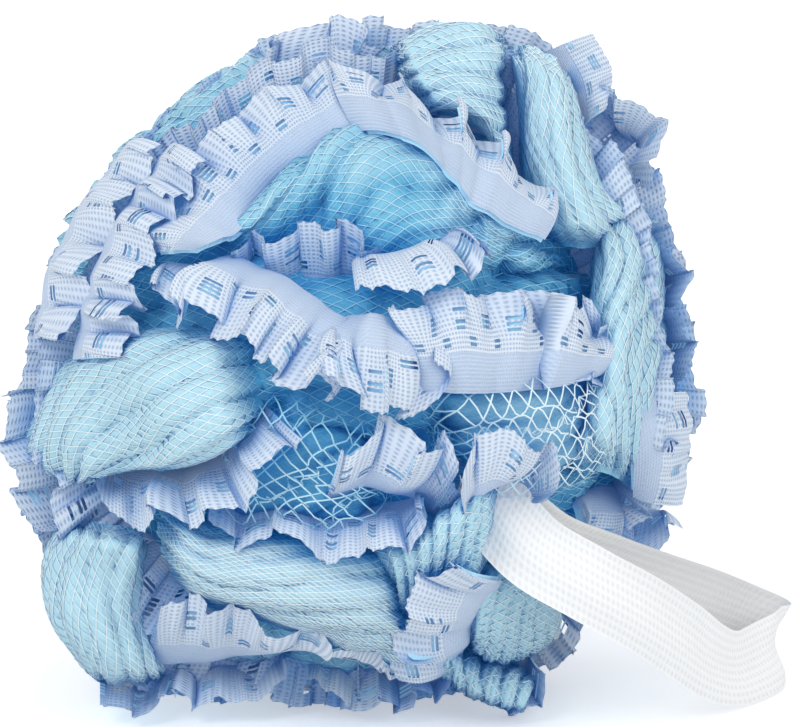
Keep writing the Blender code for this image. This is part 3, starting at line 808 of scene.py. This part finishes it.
# The lace trims
# A stretch lace about 19 mm wide, sewn along each netting's outer edge: a close-woven band at the seam, then open
# work with groups of slits, and a looped free edge. It is gathered as it is sewn, so it stands in ruffles.
BAND_WIDTH = 0.0075
LACE_ROWS = np.array([
    0.0, 1.9, 3.8, 5.7, 7.3, 7.8, 8.7, 9.4, 9.8, 10.5, 11.6, 12.3, 12.7, 13.4, 13.8, 14.5, 14.9, 15.6, 16.6, 17.6,
    18.4, 19.2,
]) / 1000.0  # fmt: skip
OUTER_SLITS, INNER_SLITS = (10, 12, 14, 16), (6, 8)
SLIT_REPEAT = 11
BACKING_GAP, BACKING_ROWS = 0.0013, 19
LACE_STEP = 0.00088
RUFFLE_FULLNESS = 1.55
LOOP_SIZE = 0.55
FLUTE_PITCH, FLUTE_HEIGHT = 0.0046, 0.00055
WAY_COUNT = 400
TAUT_SHARE = 0.98
PITCH_DRIFT, SIZE_DRIFT, SEAM_WAVE = 0.4, 0.45, 0.10
SIDE_SWAY, EDGE_CURL, TAKEN_UP = 0.5, 0.22, 0.7
BANDS_APART = 3


def add_lace(cloth, grid, start):
    """Adds a length of lace with its slits left open and its free edge looped, from a first column's number on."""
    rows, columns = grid.shape[:2]
    loops = ((np.arange(columns) + start) % 2)[:, None]
    grid = grid.copy()
    grid[-1] = grid[-2] + (grid[-1] - grid[-2]) * (LOOP_SIZE + LOOP_SIZE * loops)
    faces = grid_faces(rows, columns)
    row = np.repeat(np.arange(rows - 1), columns - 1)
    column = np.tile(np.arange(columns - 1), rows - 1) + start
    beat = column % SLIT_REPEAT
    skip = (column // SLIT_REPEAT) * 7 % 5
    outer = np.isin(row, OUTER_SLITS) & (beat >= 1) & (beat <= 3) & ((row // 2 + skip) % 5 != 0)
    inner = np.isin(row, INNER_SLITS) & (beat >= 6) & (beat <= 8) & (skip != 2)
    u = (np.arange(columns) + start) * LACE_STEP
    flat = np.stack(np.meshgrid(u, LACE_ROWS), axis=-1)
    cloth.add(grid, faces[~(outer | inner)], flat)
    return start + columns


def band_of_lace(seam_mm, edge_mm, pitch, height, calm, seed, bow, lie):
    """A length of lace laid as given: its seam across and up, and its free edge across, up and lifted off the face.
    What is left over of the lace's width goes into depth: the seam is deeper if lie is -1, and nearer if it is 1."""
    edge = on_front(edge_mm)
    seam = np.asarray(seam_mm, float) / 1000.0
    laps = spline(edge, count=WAY_COUNT)
    seam_flat = spline(seam[:, :2], count=WAY_COUNT)
    spread = np.linalg.norm(laps[:, :2] - seam_flat, axis=1)
    drop = np.sqrt(np.maximum((TAUT_SHARE * LACE_WIDTH) ** 2 - spread**2, 0.0))
    base = np.column_stack([seam_flat, np.minimum(laps[:, 2] + lie * drop, face_height(seam_flat))])
    length = step_lengths((laps + base) / 2).sum()
    full = 1.0 + TAKEN_UP * (math.pi * height / pitch) ** 2
    columns = max(8, round(length * full / LACE_STEP))
    pick = np.linspace(0.0, float(WAY_COUNT), columns)
    number = np.arange(WAY_COUNT + 1)
    laps = np.column_stack([np.interp(pick, number, column) for column in laps.T])
    base = np.column_stack([np.interp(pick, number, column) for column in base.T])
    along = np.linspace(0.0, length, columns)
    tangent = unit(np.gradient(laps + base, axis=0))
    across = unit(laps - base)
    normal = facing_front(unit(np.cross(tangent, across)))
    share = (LACE_ROWS / LACE_ROWS[-1])[:, None, None]
    spacing = pitch * (1.0 + PITCH_DRIFT * wander(along, pitch * 3, seed))
    phase = 2.0 * math.pi * np.cumsum(np.gradient(along) / spacing)
    size = height * (1.0 + SIZE_DRIFT * wander(along, pitch * 2, seed + 1))
    grown = SEAM_WAVE + (1.0 - SEAM_WAVE) * smooth_step((share - calm) / (1.0 - calm)) ** 0.8
    grid = base[None] * (1.0 - share) + laps[None] * share
    grid = grid + normal * bow * 4.0 * share * (1.0 - share)
    grid = grid + normal * (size * np.sin(phase))[None, :, None] * grown
    grid = grid + tangent * (SIDE_SWAY * size * np.sin(2.0 * phase + 0.8))[None, :, None] * grown
    flutes = FLUTE_HEIGHT * np.sin(2.0 * math.pi * along / FLUTE_PITCH + 2.0 * wander(along, 0.02, seed + 2))
    grid = grid + normal * flutes[None, :, None] * smooth_step((share - 0.2) / 0.6)
    grid = grid - across * (EDGE_CURL * size * (1.0 - np.cos(phase)))[None, :, None] * share**2
    add_grid(backing, in_room((grid - normal * BACKING_GAP)[:BACKING_ROWS, ::2]))
    return in_room(grid)


def weave_marks():
    """The lace's threads: ribs close together in the seam band, and a grid with small holes in the open work."""
    takes = {"Thread pitch": 0.00088, "Rib pitch": 0.00075, "Band": BAND_WIDTH}
    group, given, result = node_group("weave_marks", takes, ["Holes", "Height", "Band"])
    u, v = flat_place(group)

    def beat(place, pitch):
        turned = math_node(group, "MULTIPLY", math_node(group, "DIVIDE", place, pitch), math.pi)
        return math_node(group, "ABSOLUTE", math_node(group, "SINE", turned))

    thread, rib_pitch = given.outputs["Thread pitch"], given.outputs["Rib pitch"]
    grid = math_node(group, "MULTIPLY", beat(u, thread), beat(v, thread))
    open_work = math_node(group, "GREATER_THAN", v, given.outputs["Band"])
    close_work = math_node(group, "SUBTRACT", 1.0, open_work)
    slanted = math_node(group, "ADD", u, math_node(group, "MULTIPLY", v, 0.6))
    rib = math_node(group, "MULTIPLY", beat(slanted, rib_pitch), beat(v, rib_pitch))
    holes = math_node(group, "MULTIPLY", math_node(group, "POWER", grid, 3.0), open_work)
    pits = math_node(group, "MULTIPLY", math_node(group, "MULTIPLY", rib, close_work), 0.45)
    total = math_node(group, "ADD", holes, pits, clamp=True)
    group.links.new(total, result.inputs["Holes"])
    group.links.new(math_node(group, "SUBTRACT", 1.0, total), result.inputs["Height"])
    group.links.new(close_work, result.inputs["Band"])
    return group


WEAVE_MARKS = weave_marks()


def lace_finish():
    """Lilac-white lace with painted shade: bluer the deeper it lies, and deep blue in its crevices and woven holes.
    """
    made, _ = new_finish("lilac_lace", 0.75, gloss=0.2, sheen=0.1)
    depth = place_group(made, PAINTED_SHADE_DEPTH, Inner=0.044, Outer=0.065, Drift=0.3).outputs["Depth"]
    weave = place_group(made, WEAVE_MARKS)
    # Painted shade: the lace runs from deep blue far in to lilac-white on the crests.
    deep, middle, outer, crest = (0.07, 0.24, 0.58), (0.38, 0.54, 0.79), (0.61, 0.72, 0.88), (0.72, 0.8, 0.91)
    body = ramp(made, depth, ((0.0, deep), (0.4, middle), (0.75, outer), (1.0, crest)))
    banded = blend(made, weave.outputs["Band"], body, (0.51, 0.63, 0.84), 0.5)
    shadow = ramp(made, depth, ((0.0, (0.03, 0.17, 0.5)), (1.0, (0.36, 0.53, 0.79))))
    woven = blend(made, weave.outputs["Holes"], banded, shadow, 0.75)
    # Painted shade: crevices take a deep blue; the glow is painted light.
    show_colour_with_painted_glow(made, blend(made, crevice_shade_mask(made, 0.01, 0.78), (0.11, 0.31, 0.67), woven), 0.07)
    raise_threads(made, weave.outputs["Height"], 0.7, 0.0004)
    return made


LACE = lace_finish()
LACE_SHARES = LACE_ROWS / LACE_ROWS[-1]
back_lace, front_lace, backing = Cloth(), Cloth(), Cloth()
way_step = LACE_STEP / RUFFLE_FULLNESS / BALL
back_lace_way = unit(spline(strip_places(BACK_FOLDS_MM), way_step))
front_lace_way = unit(spline(strip_places(None), way_step))
add_lace(back_lace, strip_surface(back_lace_way, LACE_SHARES, True, BACK, BACK_SEED), 0)
laid = add_lace(front_lace, strip_surface(front_lace_way, LACE_SHARES, True, FRONT, FRONT_SEED), 0)

# each row: the seam across and up, the free edge across, up and lifted, and then the other values of band_of_lace
FRONT_BANDS = (
    # the arch: its left leg lies nearly flat, its right leg folds into lobes
    (((-30, 21), (-20, 26), (-10, 36), (1, 44.5)),
     ((-38, 19, -2), (-37, 30, -1), (-27, 45, 0), (-16, 53, 0), (-5, 58, 0)), 0.0125, 0.003, 0.42, 51, 0.002, 1.0),
    (((1, 44.5), (10, 44), (18, 38), (25, 30), (38, 23)),
     ((-5, 58, 0), (5, 57, 2), (14, 51, 3), (24, 46, 3), (33, 39, 2), (39, 30, 0)),
     0.012, 0.0052, 0.35, 52, 0.003, 1.0),
    # the short ruffle under the arch
    (((-20, 12), (-10, 11), (0, 12), (6, 13)),
     ((-22, 23, -5), (-11, 26, -4), (0, 26, -4), (5, 22, -6)), 0.009, 0.0026, 0.1, 53, 0.001, -1.0),
    # the ruffle across the left of the middle
    (((-32, 17), (-24, 20), (-16, 18), (-9, 14), (-2, 9), (5, 5)),
     ((-38, 12, 1), (-33, 8, 3), (-25, 6, 4), (-18, 1, 4), (-12, -5, 3), (-4, -7, 2)),
     0.0115, 0.0042, 0.15, 54, 0.003, -1.0),
    # its lobe down over the middle
    (((-1, 8), (5, 9), (11, 6), (15, 2)),
     ((-3, -6, 2), (5, -10, 4), (13, -11, 4), (18, -5, 2)), 0.01, 0.0044, 0.1, 55, 0.004, -1.0),
    # the middle ruffle with its woven band
    (((14, -6), (24, -6.5), (34, -6), (42, -5), (49, -3)),
     ((6, 10, -3), (13, 12, 0), (20, 14, 1), (28, 13, 1), (36, 14, 0), (44, 11, 0), (51, 4, -2)),
     0.0115, 0.0042, 0.5, 56, 0.003, 1.0),
    # the curls at its right end
    (((46, 4), (48, 1), (46, -2), (42, -1), (42, 3)),
     ((40, 7, 1), (45, 11, 3), (51, 7, 3), (52, 0, 2), (47, -5, 2), (41, -4, 1)),
     0.009, 0.0022, 0.0, 57, 0.003, -1.0),
    # along the lower edge of the left fold
    (((-50, -19), (-40, -20), (-30, -20), (-22, -15), (-17, -8)),
     ((-52, -24, 2), (-46, -31, 4), (-37, -32, 5), (-28, -31, 5), (-20, -27, 4), (-14, -20, 2), (-10, -13, -2)),
     0.015, 0.0028, 0.15, 58, 0.002, -1.0),
    # the left flap
    (((-57, -6), (-53, -14), (-51, -22), (-52, -31)),
     ((-70, -6, 2), (-69, -16, 4), (-66, -26, 4), (-62, -35, 2)), 0.013, 0.003, 0.1, 59, 0.002, -1.0),
    # middle, over the open cells
    (((-5, -27), (4, -25), (12, -27), (18, -31)),
     ((-2, -17, -1), (5, -14, 2), (13, -14, 3), (20, -17, 2), (22, -25, 0)), 0.013, 0.0034, 0.1, 60, 0.003, -1.0),
    # above the billow
    (((-27, -27), (-18, -28), (-8, -29), (2, -29), (10, -27), (17, -24)),
     ((-28, -33, 0), (-18, -35, 2), (-8, -37, 3), (1, -38, 4), (9, -37, 4), (17, -31, 2)),
     0.014, 0.0026, 0.1, 61, 0.002, -1.0),
    # the lobe beside the loop
    (((22, -34), (25, -27), (30, -24), (35, -25)),
     ((20, -22, 2), (26, -15, 6), (34, -14, 8), (40, -19, 8), (41, -26, 7)), 0.013, 0.003, 0.1, 62, 0.002, -1.0),
    # the run from the loop down to the floor
    (((30, -43), (25, -50), (23, -57), (20, -63)),
     ((20, -37, 6), (13, -44, 8), (9, -53, 8), (8, -63, 5)), 0.012, 0.0028, 0.1, 80, 0.002, -1.0),
    # behind the left flap, down to the corner
    (((-38, -34), (-36, -42), (-30, -48), (-24, -52)),
     ((-44, -32, -3), (-45, -40, -1), (-40, -47, 0), (-34, -52, 0)), 0.012, 0.0028, 0.1, 63, 0.002, -1.0),
    (((-40, -60), (-30, -60), (-18, -58), (-4, -56), (10, -60)),
     ((-37, -46, 2), (-28, -47, 4), (-18, -50, 5), (-4, -55, 5), (11, -60, 4)), 0.014, 0.0022, 0.3, 64, 0.002, 1.0),
    # the hems on the floor
    (((-50, -60), (-42, -60), (-34, -60)),
     ((-50, -69, 1), (-43, -70, 2), (-36, -69, 1)), 0.012, 0.002, 0.1, 65, 0.001, -1.0),
    (((-34, -58), (-24, -59), (-12, -57)),
     ((-36, -68, 1), (-24, -68, 2), (-9, -63, 1)), 0.013, 0.0022, 0.1, 66, 0.001, -1.0),
    (((-8, -57), (2, -57), (12, -59), (20, -58)),
     ((-9, -63, 1), (-1, -68, 2), (10, -69, 2), (22, -63, 1)), 0.013, 0.0022, 0.1, 67, 0.001, -1.0),
    (((26, -60), (32, -60), (36, -58)),
     ((28, -70, 0), (36, -70, 1), (40, -62, 0)), 0.01, 0.0024, 0.1, 68, 0.001, -1.0),
    # the upper right curl, a funnel open to the front
    (((48, 37), (48, 44), (53, 46), (56, 42), (55, 36)),
     ((42, 32, 0), (42, 47, 2), (51, 55, 3), (61, 47, 2), (61, 35, 0)), 0.012, 0.002, 0.1, 69, 0.002, -1.0),
    # the right lower patch and edge
    (((52, -8), (53, -16), (51, -24), (46, -30)),
     ((62, -8, 1), (64, -18, 3), (61, -28, 3), (52, -36, 1)), 0.014, 0.0026, 0.4, 71, 0.002, -1.0),
    # the ruffles between the ring and the arch's left leg
    (((-54, 0), (-51, 15), (-44, 30), (-35, 42)),
     ((-42, -1, 1), (-41, 13, 3), (-36, 25, 3), (-28, 38, 1)), 0.009, 0.0026, 0.15, 77, 0.003, -1.0),
    (((-62, 4), (-60, 16), (-53, 30), (-44, 41)),
     ((-52, 3, 2), (-50, 16, 3), (-44, 29, 3), (-36, 41, 1)), 0.0125, 0.0032, 0.25, 78, 0.003, -1.0),
    # the ruffles down the right edge
    (((58, 26), (60, 12), (60, -2), (59, -14)),
     ((64, 29, 2), (66, 12, 3), (67, -2, 3), (66, -14, 2)), 0.013, 0.0024, 0.1, 79, 0.002, -1.0),
    # a curl like a short tube under the arch, open to the right
    (((2, 18), (8, 20), (14, 21), (20, 20)),
     ((1, 13, -2), (8, 13, 2), (15, 14, 5), (22, 16, 5), (27, 20, 2), (24, 25, -1)),
     0.012, 0.0018, 0.1, 73, 0.004, -1.0),
    # smooth patches of the woven side, at the upper right and at the right
    (((39, 61), (43, 54), (46, 46)),
     ((48, 65, 1), (52, 58, 2), (51, 50, 2)), 0.024, 0.0008, 0.5, 74, 0.002, 1.0),
    (((54, -8), (56, -18), (56, -27)),
     ((66, -6, 1), (68, -17, 2), (66, -28, 1)), 0.024, 0.001, 0.5, 75, 0.002, 1.0),
    # over the loop at the lower right
    (((44, -27), (50, -25), (57, -27), (62, -32)),
     ((42, -37, 2), (50, -40, 3), (58, -39, 3), (66, -34, 1)), 0.011, 0.0036, 0.1, 76, 0.002, -1.0),
    # the curl at the upper left
    (((-14, 54), (-8, 50), (-2, 52), (2, 56)),
     ((-16, 64, 1), (-8, 68, 2), (2, 67, 2), (6, 60, 0)), 0.012, 0.003, 0.1, 72, 0.003, -1.0),
)  # fmt: skip
for band in FRONT_BANDS:
    laid = add_lace(front_lace, band_of_lace(*band), laid + BANDS_APART)

back_trim = back_lace.finish("back_lace_ruffles", LACE)
front_trim = front_lace.finish("front_lace_ruffles", LACE)
for piece in (back_trim, front_trim):
    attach(piece, "root")
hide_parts("back_lace_trim")
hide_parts("front_lace_trim")
# Painted light: a paler, more strongly glowing copy of the netting, which lightens the shade seen through the lace's
# slits.
SEAM_NET = netting_finish(
    "seam_netting", (0.08, 0.36, 0.78), (0.24, 0.58, 0.87), (0.44, 0.74, 0.91), 0.3, reach=0.0003, glow=0.18
)
seamed_net = backing.finish("netting_at_the_seams", SEAM_NET)
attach(seamed_net, "root")
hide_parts("front_netting", "front_billow", "front_middle_fold")


# The hanging loop
# One white woven ribbon, 15 mm wide. Both tails are tied in at the cord, and the loop comes out between the folds and
# lies on the floor.
RIBBON_WIDTH, RIBBON_THICK, RIBBON_TAIL = 0.015, 0.0007, 0.0032
RIBBON_EXIT_MM = (33.0, -31.0)
TAIL_LEVELS = np.array([0.0, 0.19, 0.38, 0.57, 0.76])
TAIL_REACH, TAIL_APART = 0.9, 0.0008
RIBBON_ROUTE = (
    ((35.5, -36.8, 43.5), (0.46, 0.89, 0.0)),
    ((46.5, -43.5, 41.8), (0.46, 0.89, 0.05)),
    ((57.0, -49.3, 35.0), (0.47, 0.88, 0.0)),
    ((65.5, -55.0, 25.0), (0.45, 0.86, -0.1)),
    ((71.5, -59.5, 15.0), (0.35, 0.88, -0.25)),
    ((76.8, -61.5, 5.5), (0.12, 0.92, -0.3)),
    ((82.3, -60.4, -3.0), (-0.15, 0.98, -0.15)),
    ((86.0, -58.0, -10.0), (-0.1, 1.00, 0.00)),
    ((85.0, -55.3, -15.5), (0.00, 1.00, 0.00)),
    ((79.0, -52.3, -13.0), (0.15, 0.98, 0.00)),
    ((70.0, -48.7, -0.5), (0.35, 0.93, 0.05)),
    ((60.0, -45.0, 16.5), (0.45, 0.89, 0.05)),
    ((49.5, -41.0, 32.0), (0.46, 0.89, 0.0)),
    ((38.5, -36.4, 40.5), (0.46, 0.89, 0.0)),
)
RIBBON_STEP, RIBBON_ROWS = 0.0008, 20
TAIL_LENGTH, WIDEN_START = BALL - 0.012, 0.012
ROLL_HEIGHT = 0.0006


def ribbon_grid():
    """The ribbon's points: out of the tie, round the loop and back, always lying flat way across its route."""
    channel = front_directions([RIBBON_EXIT_MM] * len(TAIL_LEVELS))
    levels = TIE_REACH + TAIL_LEVELS * TAIL_LENGTH
    leaning = lie_over(channel, levels)
    outside = np.asarray(RIBBON_ROUTE, float).reshape(-1, 6)
    outside[:, :3] /= 1000.0
    edge_way = unit(outside[0, 3:])
    tail = np.column_stack([leaning * levels[:, None], np.tile(edge_way, (len(levels), 1))])
    aside = np.zeros_like(tail)
    aside[:, :3] = unit(np.cross(channel[0], edge_way)) * (TAIL_APART * (1.0 + TAIL_LEVELS))[:, None]
    knots = np.vstack([tail + aside, outside, (tail - aside)[::-1]])
    middle = spline(knots[:, :3], RIBBON_STEP)
    lengths = from_zero(step_lengths(knots[:, :3]))
    at = np.linspace(0.0, lengths[-1], len(middle))
    ways = np.column_stack([np.interp(at, lengths, column) for column in knots[:, 3:].T])
    running = unit(np.gradient(middle, axis=0))
    ways = unit(ways - (ways * running).sum(axis=1, keepdims=True) * running)
    reach = np.linalg.norm(middle, axis=1)
    widen = smooth_step((reach - WIDEN_START) / (TAIL_REACH * BALL - WIDEN_START))
    half = 0.5 * (RIBBON_TAIL + (RIBBON_WIDTH - RIBBON_TAIL) * widen)
    across = np.linspace(-1.0, 1.0, RIBBON_ROWS)[:, None, None]
    grid = middle[None] + ways[None] * half[None, :, None] * across
    cup = np.cross(running, ways)
    along = np.linspace(0.0, 1.0, len(middle))
    rolls = ROLL_HEIGHT * np.sin(across[..., 0] * 4.0 + 9.0 * along[None]) * widen[None]
    grid = grid + cup[None] * rolls[..., None]
    grid = grid @ AXES + CENTRE
    lowest = grid[..., 2].min(axis=0)
    grid[..., 2] += np.maximum(RIBBON_THICK / 2 + LOWEST - lowest, 0.0)[None]
    return grid


def ribbon_finish():
    """White woven ribbon; its back side is greyer by painted shade, and it has a faint painted glow."""
    made, _ = new_finish("white_ribbon", 0.55, gloss=0.3, sheen=0.2)
    weave = place_group(made, WEAVE_MARKS, Thread_pitch=0.0013, Rib_pitch=0.0013, Band=1.0)
    side = made.node_tree.nodes.new("ShaderNodeNewGeometry")
    # Painted shade: the back side of the ribbon takes a greyer copy of its white.
    face = blend(made, side.outputs["Backfacing"], (0.94, 0.94, 0.94), (0.76, 0.755, 0.75))
    show_colour_with_painted_glow(made, blend(made, weave.outputs["Holes"], face, (0.58, 0.59, 0.61), 0.9), 0.12)
    raise_threads(made, weave.outputs["Height"], 0.8, 0.0003)
    return made


ribbon = Cloth()
add_grid(ribbon, ribbon_grid())
loop = ribbon.finish("ribbon_loop", ribbon_finish())
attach(loop, "root")
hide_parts("hanging_loop")
